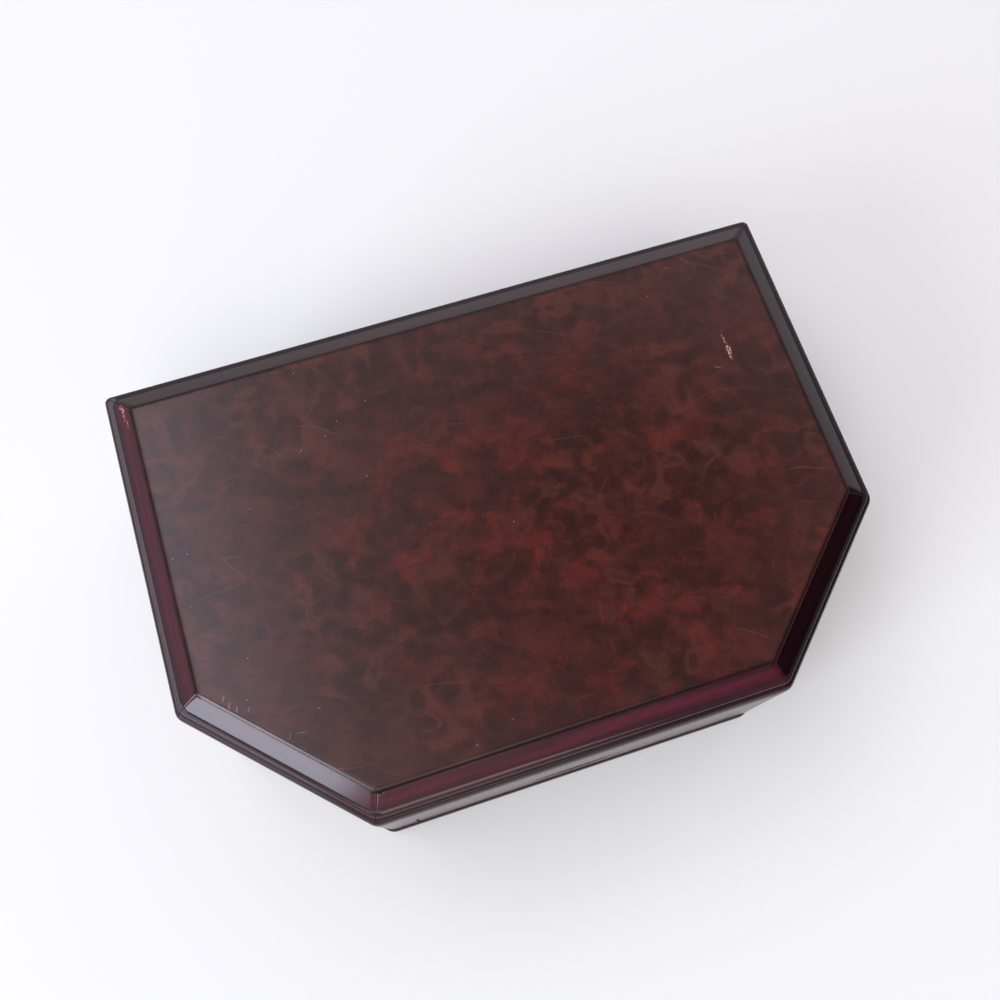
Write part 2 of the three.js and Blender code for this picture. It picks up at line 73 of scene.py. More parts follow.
bpy.ops.object.camera_add(location=CAMERA_PLACE)
camera = bpy.context.object
camera.data.lens = 38.28
camera.data.sensor_width = 36
camera.data.clip_start = 0.01
camera.rotation_mode = "QUATERNION"
aim = (LOOKED_AT - CAMERA_PLACE).to_track_quat("-Z", "Y")
camera.rotation_quaternion = aim @ Matrix.Rotation(TILT, 3, "Z").to_quaternion()
bpy.context.scene.camera = camera
bpy.context.scene.view_settings.view_transform = "Standard"


# Table, lamps and room. A matt white table; cool daylight from a wide window at the left; a
# warmer one high up at the front; a soft lamp over the left, which veils that end of the lid.
class Socket:
    """A socket of a shader tree. Sums on it add Math nodes to the tree."""

    def __init__(self, tree, link):
        self.tree = tree
        self.link = link

    def node(self, kind, inputs, out=0, **settings):
        made = self.tree.nodes.new("ShaderNode" + kind)
        for name, value in settings.items():
            setattr(made, name, value)
        for name, value in inputs.items():
            if isinstance(value, Socket):
                self.tree.links.new(value.link, made.inputs[name])
            else:
                made.inputs[name].default_value = value
        return Socket(self.tree, made.outputs[out] if made.outputs else None)

    def math(self, operation, first, second):
        return self.node("Math", {0: first, 1: second}, operation=operation)

    def __add__(self, other):
        return self.math("ADD", self, other)

    __radd__ = __add__

    def __mul__(self, other):
        return self.math("MULTIPLY", self, other)

    __rmul__ = __mul__

    def __sub__(self, other):
        return self.math("SUBTRACT", self, other)

    def __rsub__(self, other):
        return self.math("SUBTRACT", other, self)

    def __abs__(self):
        return self.node("Math", {0: self}, operation="ABSOLUTE")

    def between(self, low, high):
        """0 up to `low` and 1 from `high`, with a smooth step between them."""
        return self.node("MapRange", {"Value": self, "From Min": low, "From Max": high},
                         interpolation_type="SMOOTHSTEP")

    def mix(self, low, high):
        """The colour `low` where this is 0 and `high` where it is 1."""
        return self.node("Mix", {0: self, 6: low, 7: high}, out=2, data_type="RGBA")

    def noise(self, size, detail=2.0, roughness=0.5, out="Fac"):
        """Noise whose lumps are about `size` across, in the units of this place."""
        return self.node("TexNoise", {"Vector": self, "Scale": 1 / size, "Detail": detail,
                                      "Roughness": roughness}, out=out)

    def warped(self, size, reach):
        """This place, pushed about by up to `reach` by noise of that size."""
        push = self.noise(size, out="Color")
        half = self.node("VectorMath", {0: push, 1: (0.5, 0.5, 0.5)}, operation="SUBTRACT")
        return self.node("VectorMath", {0: half, 1: (2 * reach,) * 3, 2: self},
                         operation="MULTIPLY_ADD")

    def laid(self, scale, turn=0.0, centre=(0, 0, 0)):
        """This place seen from `centre`, turned about Z and measured in steps of `scale`."""
        return self.node("Mapping", {"Vector": self, "Location": centre, "Rotation": (0, 0, turn),
                                     "Scale": scale}, vector_type="TEXTURE")


def linear(value):
    share = value / 255
    return share / 12.92 if share <= 0.04045 else ((share + 0.055) / 1.055) ** 2.4


def colour(red, green, blue):
    """A colour as it is seen on a screen, from 0 to 255."""
    return (linear(red), linear(green), linear(blue), 1)


def new_material(name):
    """A material with an empty tree, and the place on the object in millimetres."""
    material = bpy.data.materials.new(name)
    material.use_nodes = True
    tree = material.node_tree
    tree.nodes.clear()
    place = Socket(tree, tree.nodes.new("ShaderNodeTexCoord").outputs["Object"])
    return material, place.node("VectorMath", {0: place, "Scale": 1 / MM}, operation="SCALE")


def surface(place, **inputs):
    """Ends a material's tree in a Principled surface with these inputs."""
    named = {name.replace("_", " "): value for name, value in inputs.items()}
    place.node("OutputMaterial", {"Surface": place.node("BsdfPrincipled", named)})


TABLE_SIZE = 30
TABLE_WHITE = colour(246, 245, 240)

bpy.ops.mesh.primitive_plane_add(size=TABLE_SIZE)
table = bpy.context.object
table.name = "table"
table_white, place = new_material("table_white")
surface(place, Base_Color=TABLE_WHITE, Roughness=1.0, Specular_IOR_Level=0.0)
table.data.materials.append(table_white)


def soft_lamp(name, place, target, width, height, radiance, tint):
    """An area lamp of that radiance, aimed at the target and itself out of the picture."""
    bpy.ops.object.light_add(type="AREA", location=place)
    lamp = bpy.context.object
    lamp.name = name
    lamp.data.shape = "RECTANGLE"
    lamp.data.size = width
    lamp.data.size_y = height
    lamp.data.energy = 4 * radiance * width * height
    lamp.data.color = tint
    lamp.rotation_euler = (Vector(target) - Vector(place)).to_track_quat("-Z", "Y").to_euler()
    lamp.visible_camera = False


def around(azimuth, distance, height):
    """The place that far from the box in a direction counted from +X, and that high up."""
    turn = math.radians(azimuth)
    return distance * math.cos(turn), distance * math.sin(turn), height


soft_lamp("window", around(202, 4.4, 1.9), target=(0, 0, 1.9), width=2.3, height=2.7,
          radiance=5.9, tint=(0.73, 0.86, 1.0))
soft_lamp("high_window", around(252, 2.4, 4.0), target=(0, 0, 0), width=2.8, height=2.8,
          radiance=1.75, tint=(1.0, 0.94, 0.86))
soft_lamp("lamp_over_left", (-1.9, 1.6, 4.0), target=(-1.9, 1.6, 0), width=2.4, height=3.6,
          radiance=1.7, tint=(0.78, 0.84, 1.0))

# The room is pale, but for a dim patch of ceiling nearly overhead and a dim corner at the
# front right, which the lid mirrors. Its horizon is pale all round. Each patch is a way to
# look, and each fade is where it starts and ends.
HORIZON = colour(240, 239, 241)
PALE_ROOM = colour(221, 217, 229)
DIM_ROOM = colour(40, 37, 40)
HORIZON_FADE = (0.10, 0.25)
DIM_CEILING = (0.20, 0.21, 0.957)
CEILING_FADE = (0.10, 0.34)
DIM_CORNER = (0.819, -0.435, 0.375)
CORNER_FADE = (0.45, 0.98)

world = bpy.data.worlds.new("room")
bpy.context.scene.world = world
world.use_nodes = True
world.node_tree.nodes.clear()
way = Socket(world.node_tree,
             world.node_tree.nodes.new("ShaderNodeTexCoord").outputs["Generated"])
height = way.node("SeparateXYZ", {"Vector": way}, out="Z")
aside = way.node("VectorMath", {0: way, 1: DIM_CEILING}, out="Value", operation="DISTANCE")
cornered = way.node("VectorMath", {0: way, 1: DIM_CORNER}, out="Value", operation="DOT_PRODUCT")
lit = aside.between(*CEILING_FADE) * (1 - cornered.between(*CORNER_FADE))
room = height.between(*HORIZON_FADE).mix(HORIZON, lit.mix(DIM_ROOM, PALE_ROOM))
way.node("OutputWorld", {"Surface": way.node("Background", {"Color": room})})


# Base: a board with rounded edges, a hair proud of the walls, lacquered dark mahogany, with
# black felt glued under it. The lacquer is a clear gloss over red-brown stained grain.
def deselect_and_take(piece):
    bpy.ops.object.select_all(action="DESELECT")
    piece.select_set(True)
    bpy.context.view_layer.objects.active = piece


WELD = 0.002 * MM
FLAT_WITHIN = math.radians(0.5)
SHARP_FROM = math.radians(25)
SMOOTH_UP_TO = math.radians(36)


def finished(node, material, soften, outward=None, segments=2, reshape=None):
    """A copy of a CAD solid with its arrises softened, which stands for it. `outward` is
    given for a mitred piece, whose mitres stay tight, and `reshape` works on its mesh."""
    piece = bpy.data.objects.new(node + "_finished", frame["nodes"][node].data.copy())
    bpy.context.scene.collection.objects.link(piece)
    deselect_and_take(piece)
    bpy.ops.object.mode_set(mode="EDIT")
    bpy.ops.mesh.select_mode(type="EDGE")
    bpy.ops.mesh.select_all(action="SELECT")
    bpy.ops.mesh.customdata_custom_splitnormals_clear()
    bpy.ops.mesh.remove_doubles(threshold=WELD)
    bpy.ops.mesh.dissolve_limited(angle_limit=FLAT_WITHIN)
    bpy.ops.mesh.select_all(action="DESELECT")
    bpy.ops.mesh.edges_select_sharp(sharpness=SHARP_FROM)
    bpy.ops.object.mode_set(mode="OBJECT")
    if outward:
        leave_mitres(piece.data, outward)
    bpy.ops.object.mode_set(mode="EDIT")
    bpy.ops.mesh.bevel(offset=soften, segments=segments, profile=0.5, clamp_overlap=True)
    bpy.ops.object.mode_set(mode="OBJECT")
    if reshape:
        reshape(piece.data)
    return dressed(piece, node, material)


def leave_mitres(mesh, outward):
    """Takes the edges round the mitred ends out of the selection."""
    along = Vector((-outward.y, outward.x, 0))
    ends = set()
    for face in mesh.polygons:
        if abs(face.normal.dot(along)) > 0.5 and face.normal.dot(outward) < -0.1:
            ends.update(face.edge_keys)
    for edge in mesh.edges:
        if edge.key in ends:
            edge.select = False


def dressed(piece, node, material):
    """Smooths a finished piece, gives it its material and puts it in the node's place."""
    deselect_and_take(piece)
    bpy.ops.object.shade_smooth_by_angle(angle=SMOOTH_UP_TO)
    weighted = piece.modifiers.new("even_shading", "WEIGHTED_NORMAL")
    weighted.keep_sharp = True
    bpy.ops.object.modifier_apply(modifier=weighted.name)
    piece.data.materials.clear()
    piece.data.materials.append(material)
    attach(piece, frame["nodes"][node]["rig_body"])
    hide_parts(node)
    return piece


ARRIS = 0.25 * MM
FELT_EDGE = 0.3 * MM
UNDER_LACQUER = 0.0
STAIN_DARK = colour(17, 7, 10)
STAIN_RED = colour(88, 25, 42)
TORN_DARK = colour(104, 56, 56)
TORN_PALE = colour(200, 156, 152)
GRAIN_STEPS = (70, 4.0, 4.0)
PORE_STEPS = (9, 0.35, 0.35)

# Each mark is its centre, half its length, half its width, in mm, and its turn in degrees.
CORNER_CHIPS = ((-144.9, 95.9, 1.9, 0.9, 90), (-144.3, 91.4, 3.6, 0.6, 86),
                (-143.6, 86.4, 2.2, 0.3, 85))
ANY_HEIGHT = 4000


def marks(place, spots):
    """1 inside any of the marks, and 0 elsewhere, whatever the height."""
    ragged = place.warped(1.8, 0.5).warped(0.7, 0.12)
    total = None
    for x, y, half_length, half_width, turn in spots:
        size = (half_length, half_width, ANY_HEIGHT)
        local = ragged.laid(size, math.radians(turn), (x, y, 0))
        away = local.node("VectorMath", {0: local}, out="Value", operation="LENGTH")
        mark = 1 - away.between(0.75, 1.05)
        total = mark if total is None else total.math("MAXIMUM", total, mark)
    return total


def bare_wood(place):
    """Broken lacquer and wood fibres, where a knock has gone through the stain."""
    return place.noise(0.9, detail=3.0).between(0.46, 0.64).mix(TORN_DARK, TORN_PALE)


# Heights on the lid's edge, in mm: its lip is duller and has no chips, and its land and the
# top of its cove are painted less red, as painted shade.
LIP = (93.5, 96.5)
LIP_DULL = 0.5
COVE_START = (96.4, 99.0)
LAND_SHADED_REDNESS = 0.35
COVE_TOP = (99.9, 101.2)
COVE_TOP_PAINTED_SHADE = 0.6


def mahogany(name, turn, lit_redness, gloss, lid=False, chips=None):
    """Lacquer over mahogany whose grain runs along X turned by `turn`; how red it is paints the
    light and shade of its side. Only the lid's, which changes with height, has chips."""
    material, place = new_material(name)
    if lid:
        # Painted shade: the lid's land and the top of its cove are made less red by height.
        height = place.node("SeparateXYZ", {"Vector": place}, out="Z")
        lit_redness = lit_redness * (LAND_SHADED_REDNESS + (1 - LAND_SHADED_REDNESS) * height.between(*COVE_START))
        lit_redness = lit_redness * (1 - COVE_TOP_PAINTED_SHADE * height.between(*COVE_TOP))
        gloss = gloss * (1 - LIP_DULL * (1 - height.between(*LIP)))
    grain = place.warped(40, 2.0).laid(GRAIN_STEPS, turn)
    stripes = grain.noise(1.0, detail=3.0, roughness=0.55)
    pores = place.laid(PORE_STEPS, turn).noise(1.0, detail=1.0).between(0.60, 0.70)
    # The red share below is painted light and shade for the side and, on the lid, for its height.
    red = (0.45 + 0.55 * stripes.between(0.30, 0.72)) * (1 - 0.35 * pores) * lit_redness
    shade = red.mix(STAIN_DARK, STAIN_RED)
    if chips:
        bare = marks(place, chips) * height.between(*LIP)
        shade = bare.mix(shade, bare_wood(place))
        gloss = gloss * (1 - bare)
    ripple = place.noise(3.0, detail=1.0) * 0.5 + stripes * 0.5
    surface(place, Base_Color=shade, Roughness=0.5, Specular_IOR_Level=UNDER_LACQUER,
            Coat_Weight=gloss, Coat_Roughness=0.11,
            Normal=place.node("Bump", {"Height": ripple, "Strength": 0.05, "Distance": 0.0002}))
    return material


# Each side's direction from +X, in degrees, and its painted light and shade: how red it is,
# redder towards the lamps and darker away. The case's boards take a smaller share of it.
SIDES = {"front": (-90, 0.9), "right_cant": (-45, 0.1), "right": (0, 0.15), "back": (90, 0.3),
         "left": (180, 0.7), "left_cant": (-135, 0.8)}
GLOSS = 1.0
CASE_GLOSS = 0.62
CASE_REDNESS = 0.20
CASE_LIT_SHARE = 0.25

way_out, lid_lacquer_shaded, case_lacquer_shaded = {}, {}, {}
for side, (angle, lit_redness) in SIDES.items():
    turn = math.radians(angle)
    way_out[side] = Vector((math.cos(turn), math.sin(turn), 0))
    along = math.radians(angle + 90)
    lid_lacquer_shaded[side] = mahogany("lid_mahogany_shaded_" + side, along, lit_redness, GLOSS, lid=True,
                                 chips=CORNER_CHIPS if side == "left" else None)
    case_lacquer_shaded[side] = mahogany("case_mahogany_shaded_" + side, along,
                                  CASE_REDNESS + CASE_LIT_SHARE * lit_redness, CASE_GLOSS)

black_felt, place = new_material("black_felt")
fibres = place.warped(3, 1.5).noise(0.25, detail=3.0, roughness=0.7)
surface(place, Base_Color=fibres.mix(colour(14, 13, 14), colour(46, 43, 45)), Roughness=1.0,
        Sheen_Weight=0.3, Sheen_Roughness=0.6,
        Normal=place.node("Bump", {"Height": fibres, "Strength": 0.5, "Distance": 0.0002}))
finished("base_felt", black_felt, FELT_EDGE)
finished("base_board", case_lacquer_shaded["front"], ARRIS)

# Case walls: lacquered mahogany boards, mitred at the corners and glued. The front is a rail
# over the drawer opening with a short stile at each side of it.
for side in ("back", "left", "right", "left_cant", "right_cant"):
    finished("wall_" + side, case_lacquer_shaded[side], ARRIS, way_out[side])
for part in ("front_rail", "front_stile_left", "front_stile_right"):
    finished(part, case_lacquer_shaded["front"], ARRIS, way_out["front"])

# Inside the case: a thin shelf under the tray, two guides that the drawer runs between and a
# stop block behind it, all stained and left with a dull wiped finish.
STAINED_DARK = colour(62, 26, 18)
STAINED_PALE = colour(104, 52, 34)
STAINED_PORE = colour(34, 15, 11)


def stained_wood(name, turn):
    """Dull stained wood whose grain runs along X turned by `turn`."""
    material, place = new_material(name)
    grain = place.warped(30, 1.5).laid((38, 2.2, 2.2), turn)
    stripes = grain.noise(1.0, detail=5.0, roughness=0.65)
    pores = place.laid((5, 0.3, 0.3), turn).noise(1.0).between(0.60, 0.68)
    shade = stripes.between(0.25, 0.75).mix(STAINED_DARK, STAINED_PALE)
    height = stripes * 0.5 - pores
    surface(place, Base_Color=(0.6 * pores).mix(shade, STAINED_PORE), Roughness=0.48 + 0.2 * pores,
            Normal=place.node("Bump", {"Height": height, "Strength": 0.25, "Distance": 0.0003}))
    return material


stained_across = stained_wood("stained_wood_across", 0)
stained_deep = stained_wood("stained_wood_deep", math.radians(90))
for part, wood in (("shelf_board", stained_across), ("drawer_guide_left", stained_deep),
                   ("drawer_guide_right", stained_deep), ("drawer_stop", stained_across)):
    finished(part, wood, ARRIS)

# Drawer: a lacquered front with a finger scoop, stained sides, back and bottom grooved
# together, and a velvet pad with two covered dividers.
finished("drawer_front", case_lacquer_shaded["front"], ARRIS)
for part in ("drawer_side_left", "drawer_side_right"):
    finished(part, stained_deep, ARRIS)
for part in ("drawer_back", "drawer_bottom"):
    finished(part, stained_across, ARRIS)

WINE_DARK = colour(58, 8, 20)
WINE = colour(104, 20, 38)
velvet, place = new_material("wine_velvet")
strokes = place.warped(30, 12).noise(22, detail=3.0, roughness=0.55).between(0.36, 0.66)
pile = place.noise(0.45, detail=2.0, roughness=0.7)
surface(place, Base_Color=(strokes * 0.55 + pile * 0.45).mix(WINE_DARK, WINE), Roughness=0.95,
        Sheen_Weight=0.55, Sheen_Roughness=0.35, Sheen_Tint=colour(206, 96, 116),
        Normal=place.node("Bump", {"Height": pile, "Strength": 0.45, "Distance": 0.0003}))

COVERED_EDGE = 0.45 * MM
PAD_STEP = 5 * MM
PAD_DIP = 0.35 * MM
PAD_LUMPS = 30 * MM


def covered(node):
    """A board or pad covered with velvet, whose edges are rounder than those of bare wood."""
    return finished(node, velvet, COVERED_EDGE, segments=3)


def padded_floor(node):
    """A foam and velvet pad: its top is cut into small fields, which dip unevenly."""
    pad = covered(node)
    low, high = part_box(node)
    deselect_and_take(pad)
    bpy.ops.object.mode_set(mode="EDIT")
    for axis, normal in ((0, (1, 0, 0)), (1, (0, 1, 0))):
        for step in range(1, int((high[axis] - low[axis]) / PAD_STEP)):
            cut = low.copy()
            cut[axis] += step * PAD_STEP
            bpy.ops.mesh.select_all(action="SELECT")
            bpy.ops.mesh.bisect(plane_co=cut, plane_no=normal)
    bpy.ops.object.mode_set(mode="OBJECT")
    lumps = bpy.data.textures.new(node + "_lumps", "CLOUDS")
    lumps.noise_scale = PAD_LUMPS
    dips = pad.modifiers.new("dips", "DISPLACE")
    dips.texture = lumps
    dips.mid_level = 1.0
    dips.strength = PAD_DIP
    bpy.ops.object.modifier_apply(modifier=dips.name)
    bpy.ops.object.shade_smooth_by_angle(angle=SMOOTH_UP_TO)


padded_floor("drawer_floor_pad")
for part in ("drawer_cross", "drawer_divider"):
    covered(part)

# Fitted tray: a velvet floor pad and a velvet lining round the walls, both glued in, and
# five velvet-covered boards that part it into bays.
padded_floor("tray_floor_pad")
for part in ("tray_lining", "tray_divider_left", "tray_divider_right", "tray_cross_left",
             "tray_cross_right", "tray_cross_centre"):
    covered(part)

# Ring rolls: five foam bolsters wrapped in velvet, pressed side by side in the left bay so
# that rings stand in the slots between them. One is stuffed, and the others are copies.
ROLLS = 5
ROLL_VOXEL = 1.3 * MM
ROLL_START = 0.97
ROLL_SWELL = 0.35 * MM
COVER_PRESSURE = 4
FILL_FRAMES = 20
PLEATS = 16
PLEAT_DEPTH = 0.22 * MM
PLEAT_LENGTH = 7 * MM


def stuffed_roll():
    """The first roll: an even grid of cloth over the CAD solid, filled and pleated."""
    roll = bpy.data.objects.new("ring_roll", frame["nodes"]["ring_roll_1"].data.copy())
    bpy.context.scene.collection.objects.link(roll)
    deselect_and_take(roll)
    bpy.ops.object.mode_set(mode="EDIT")
    bpy.ops.mesh.select_all(action="SELECT")
    bpy.ops.mesh.customdata_custom_splitnormals_clear()
    bpy.ops.mesh.remove_doubles(threshold=WELD)
    bpy.ops.object.mode_set(mode="OBJECT")
    remesh = roll.modifiers.new("cloth_grid", "REMESH")
    remesh.mode = "VOXEL"
    remesh.voxel_size = ROLL_VOXEL
    bpy.ops.object.modifier_apply(modifier=remesh.name)
    low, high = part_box("ring_roll_1")
    middle = (low + high) / 2
    for vertex in roll.data.vertices:
        vertex.co = middle + (vertex.co - middle) * ROLL_START
    fill_roll(roll)
    pleat_ends(roll, low, high)
    fine = roll.modifiers.new("fine", "SUBSURF")
    fine.levels = 1
    fine.render_levels = 1
    bpy.ops.object.modifier_apply(modifier=fine.name)
    return roll


def fill_roll(roll):
    """Blows the cover up against its foam, each point by ROLL_SWELL at most."""
    before = [vertex.co.copy() for vertex in roll.data.vertices]
    cloth = roll.modifiers.new("cover", "CLOTH")
    cloth.settings.use_pressure = True
    cloth.settings.uniform_pressure_force = COVER_PRESSURE
    cloth.settings.effector_weights.gravity = 0
    for number in range(1, FILL_FRAMES + 1):
        bpy.context.scene.frame_set(number)
    bpy.ops.object.modifier_apply(modifier=cloth.name)
    bpy.context.scene.frame_set(1)
    for vertex, start in zip(roll.data.vertices, before):
        move = vertex.co - start
        if move.length > ROLL_SWELL:
            vertex.co = start + move.normalized() * ROLL_SWELL


def pleat_ends(roll, low, high):
    """Gathers the cover into small pleats towards both ends."""
    middle = (low + high) / 2
    for vertex in roll.data.vertices:
        from_end = min(vertex.co.x - low.x, high.x - vertex.co.x)
        share = max(0.0, 1 - from_end / PLEAT_LENGTH)
        out = Vector((0, vertex.co.y - middle.y, vertex.co.z - middle.z))
        angle = math.atan2(out.z, out.y)
        vertex.co -= out.normalized() * PLEAT_DEPTH * share * (1 + math.cos(PLEATS * angle))


rolls = [stuffed_roll()]
first_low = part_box("ring_roll_1")[0]
for number in range(2, ROLLS + 1):
    roll = rolls[0].copy()
    roll.data = rolls[0].data.copy()
    roll.data.transform(Matrix.Translation(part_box(f"ring_roll_{number}")[0] - first_low))
    bpy.context.scene.collection.objects.link(roll)
    rolls.append(roll)
for number, roll in enumerate(rolls, start=1):
    roll.name = f"ring_roll_{number}_stuffed"
    deselect_and_take(roll)
    bpy.ops.object.shade_smooth()
    roll.data.materials.clear()
    roll.data.materials.append(velvet)
    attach(roll, "case")
    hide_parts(f"ring_roll_{number}")

# Hinges: two brass butts let in flush between the lid and the back wall, each a pair of
# leaves on one pin, with two countersunk screws through each leaf.
brass, place = new_material("brass")
tarnish = place.warped(4, 2).noise(3.5, detail=4.0, roughness=0.65).between(0.35, 0.75)
brushed = place.laid((6, 0.12, 0.12)).noise(1.0, detail=2.0)
surface(place, Base_Color=tarnish.mix(colour(214, 176, 98), colour(160, 118, 58)), Metallic=1.0,
        Roughness=0.24 + 0.14 * tarnish + 0.08 * brushed,
        Normal=place.node("Bump", {"Height": brushed, "Strength": 0.08, "Distance": 0.0001}))

PIN_EDGE = 0.12 * MM
LEAF_EDGE = 0.1 * MM
LEAF_FACE = {"case": 88.1 * MM, "lid": 88.7 * MM}
SCREW_RADIUS = 1.6 * MM
SCREW_SIDES = 32
SCREW_PROUD = 0.12 * MM
SCREW_SLOT = 0.22 * MM
SLOT_DEPTH = 1.4 * SCREW_PROUD
SCREW_ALONG = 9 * MM
SCREW_IN = 2.2 * MM
SLOT_TURNS = (20, 75, 140, 5, 110, 50, 165, 95)


def screw_head(name, centre, up, turn):
    """A slotted countersunk head lying just proud of a leaf; `up` is 1 or -1."""
    bpy.ops.mesh.primitive_cylinder_add(vertices=SCREW_SIDES, radius=SCREW_RADIUS,
                                        depth=2 * SCREW_PROUD, location=(0, 0, 0))
    head = bpy.context.object
    head.name = name
    bpy.ops.object.mode_set(mode="EDIT")
    for side in (-1, 1):
        bpy.ops.mesh.select_all(action="SELECT")
        bpy.ops.mesh.bisect(plane_co=(0, side * SCREW_SLOT, 0), plane_no=(0, 1, 0))
    bpy.ops.mesh.select_all(action="DESELECT")
    bpy.ops.object.mode_set(mode="OBJECT")
    for face in head.data.polygons:
        face.select = face.normal.z > 0.9 and abs(face.center.y) < SCREW_SLOT
    bpy.ops.object.mode_set(mode="EDIT")
    bpy.ops.mesh.select_mode(type="FACE")
    bpy.ops.mesh.extrude_region_move(TRANSFORM_OT_translate={"value": (0, 0, -SLOT_DEPTH)})
    bpy.ops.mesh.select_all(action="SELECT")
    bpy.ops.mesh.normals_make_consistent(inside=False)
    bpy.ops.object.mode_set(mode="OBJECT")
    half_turn = Matrix.Rotation(0 if up > 0 else math.pi, 4, "X")
    head.data.transform(Matrix.Translation(centre) @ half_turn @ Matrix.Rotation(turn, 4, "Z"))
    bpy.ops.object.shade_smooth_by_angle(angle=SMOOTH_UP_TO)
    head.data.materials.append(brass)
    return head


turns = iter(SLOT_TURNS)
for side in ("left", "right"):
    finished(f"hinge_pin_{side}", brass, PIN_EDGE)
    for owner, up in (("case", 1), ("lid", -1)):
        node = f"hinge_{owner}_leaf_{side}"
        finished(node, brass, LEAF_EDGE)
        low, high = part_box(node)
        for sign, end in ((-1, "in"), (1, "out")):
            spot = Vector(((low.x + high.x) / 2 + sign * SCREW_ALONG, low.y + SCREW_IN,
                           LEAF_FACE[owner]))
            head = screw_head(f"screw_{owner}_{side}_{end}", spot, up, math.radians(next(turns)))
            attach(head, owner)

# Lid rails: six mahogany mouldings with a rounded lip, a bead, a land and a cove, mitred
# round the panel. Under the thick lacquer the cove runs up to the panel without a gap. The
# heights are above the underside of the lid, and the ends are in from its outline.
RAIL_ARRIS = 0.16 * MM
LID_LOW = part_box("lid_rail_front")[0].z
LID_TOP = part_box("lid_panel")[1].z
LAND_HEIGHT = 6.4 * MM
LAND_END = 4.2 * MM
COVE_END = 11.6 * MM
COVE_SLACK = 0.02
SEAT_HEIGHT = 9.5 * MM
LAND_LIFT = 1.90 * MM
COVE_LIFT = -0.10 * MM
HOLLOW_LIFT = 0.42 * MM


def lid_edge(side):
    """How far the outline of the lid is from the middle of the plan, on that side."""
    rail = frame["nodes"]["lid_rail_" + side].data
    return max(way_out[side].dot(vertex.co) for vertex in rail.vertices)


def raised_cove(side):
    """Lifts the land of a rail and flattens its cove; its foot and its seat stay as they are."""
    way, edge = way_out[side], lid_edge(side)

    def reshape(mesh):
        for vertex in mesh.vertices:
            inset = edge - way.dot(vertex.co)
            high = vertex.co.z - LID_LOW
            in_cove = (inset - LAND_END) / (COVE_END - LAND_END)
            if in_cove > 1 + COVE_SLACK or (in_cove > 1 - COVE_SLACK and high < SEAT_HEIGHT):
                continue
            share = min(1.0, high / LAND_HEIGHT) ** 2
            along = min(max(in_cove, 0.0), 1.0)
            vertex.co.z += share * (LAND_LIFT + COVE_LIFT * along
                                    + HOLLOW_LIFT * 4 * along * (1 - along))
    return reshape


for side in SIDES:
    finished("lid_rail_" + side, lid_lacquer_shaded[side], RAIL_ARRIS, way_out[side],
             reshape=raised_cove(side))

# Lid panel: burl veneer under a satin lacquer. Soft dark eyes and curls stand in a red-brown
# ground, with redder patches and flames, a few pale streaks and dark arcs, dust, a chip and
# some scratches. The figure runs level in the photograph, so at a slant over the lid.
FIGURE_TURN = math.radians(-17.6)
EYE_SIZE = 7.5
GROUND_DARK = colour(59, 27, 22)
GROUND_PALE = colour(79, 37, 31)
EYE_BROWN = colour(47, 25, 18)
RIM_TAN = colour(94, 50, 38)
RED_CENTRE = (22, -22, 102)
RED_REACH = (110, 70, 400)
BURL_RED = colour(110, 41, 31)
STREAK_PALE = colour(122, 76, 62)
ARC_DARK = colour(42, 27, 20)
FLECK_DARK = colour(26, 12, 10)

burl, place = new_material("burl_veneer")
bent = place.warped(20, 9.0).warped(6, 2.2)
eyes = bent.node("TexVoronoi", {"Vector": bent, "Scale": 1 / EYE_SIZE}, out="Distance",
                 feature="SMOOTH_F1")
eye_country = place.noise(40, detail=1.0).between(0.40, 0.60)
dark_eyes = (1 - eyes.between(0.16, 0.52)) * (0.35 + 0.65 * eye_country)
rims = eyes.between(0.42, 0.60) * (1 - eyes.between(0.62, 0.80)) * eye_country
clouds = place.warped(30, 12).noise(24, detail=4.0, roughness=0.6)
curls = place.warped(14, 10.0).laid((15, 6.5, 6.5), FIGURE_TURN).noise(1.0, detail=2.0)
fine = place.warped(3, 1.2).noise(0.9, detail=3.0, roughness=0.7)
tone = clouds * 0.55 + curls * 0.45
ground = tone.between(0.38, 0.62).mix(GROUND_DARK, GROUND_PALE)
eyed = (dark_eyes * 0.66).mix(ground, EYE_BROWN)
rimmed = (rims * 0.50).mix(eyed, RIM_TAN)

red_country = place.laid(RED_REACH, FIGURE_TURN, RED_CENTRE)
reach = red_country.node("VectorMath", {0: red_country}, out="Value", operation="LENGTH")
country = 1 - 0.75 * reach.between(0.45, 1.35)
patches = place.warped(16, 9.0).noise(21, detail=4.0, roughness=0.6).between(0.50, 0.64)
flames = place.warped(18, 12.0).laid((4.0, 13, 13), FIGURE_TURN).noise(1.0, detail=3.0)
red_share = (0.75 * patches + 0.6 * flames.between(0.57, 0.72)) * country
reddened = (red_share * fine.between(-0.05, 0.62) * 0.8).mix(rimmed, BURL_RED)

flow_noise = place.warped(60, 14).laid((84, 17, 17), FIGURE_TURN).noise(1.0, detail=0.5)
sparse = place.noise(34, detail=1.0).between(0.54, 0.64)
pale_streaks = (1 - abs(flow_noise - 0.5).between(0.001, 0.010)) * sparse
arc_noise = place.warped(18, 9.0).laid((30, 9, 9), FIGURE_TURN).noise(1.0, detail=0.5)
dark_arcs = (1 - abs(arc_noise - 0.56).between(0.012, 0.062)) * (1 - sparse)
streaked = (pale_streaks * 0.24).mix(reddened, STREAK_PALE)
arced = (dark_arcs * 0.36).mix(streaked, ARC_DARK)
flecked = (fine.between(0.25, 0.75) * 0.34).mix(arced, FLECK_DARK)

# Painted shade along the panel's edge, where it meets the cove, darker and with less coat,
# but not at the lit left cant. It fades out between these distances from the lid's outline, in mm.
EDGE_SHADE_BAND = (11.8, 14.4)
EDGE_SHADE_SHARE = 0.7
EDGE_SHADE_DARK = colour(20, 7, 12)

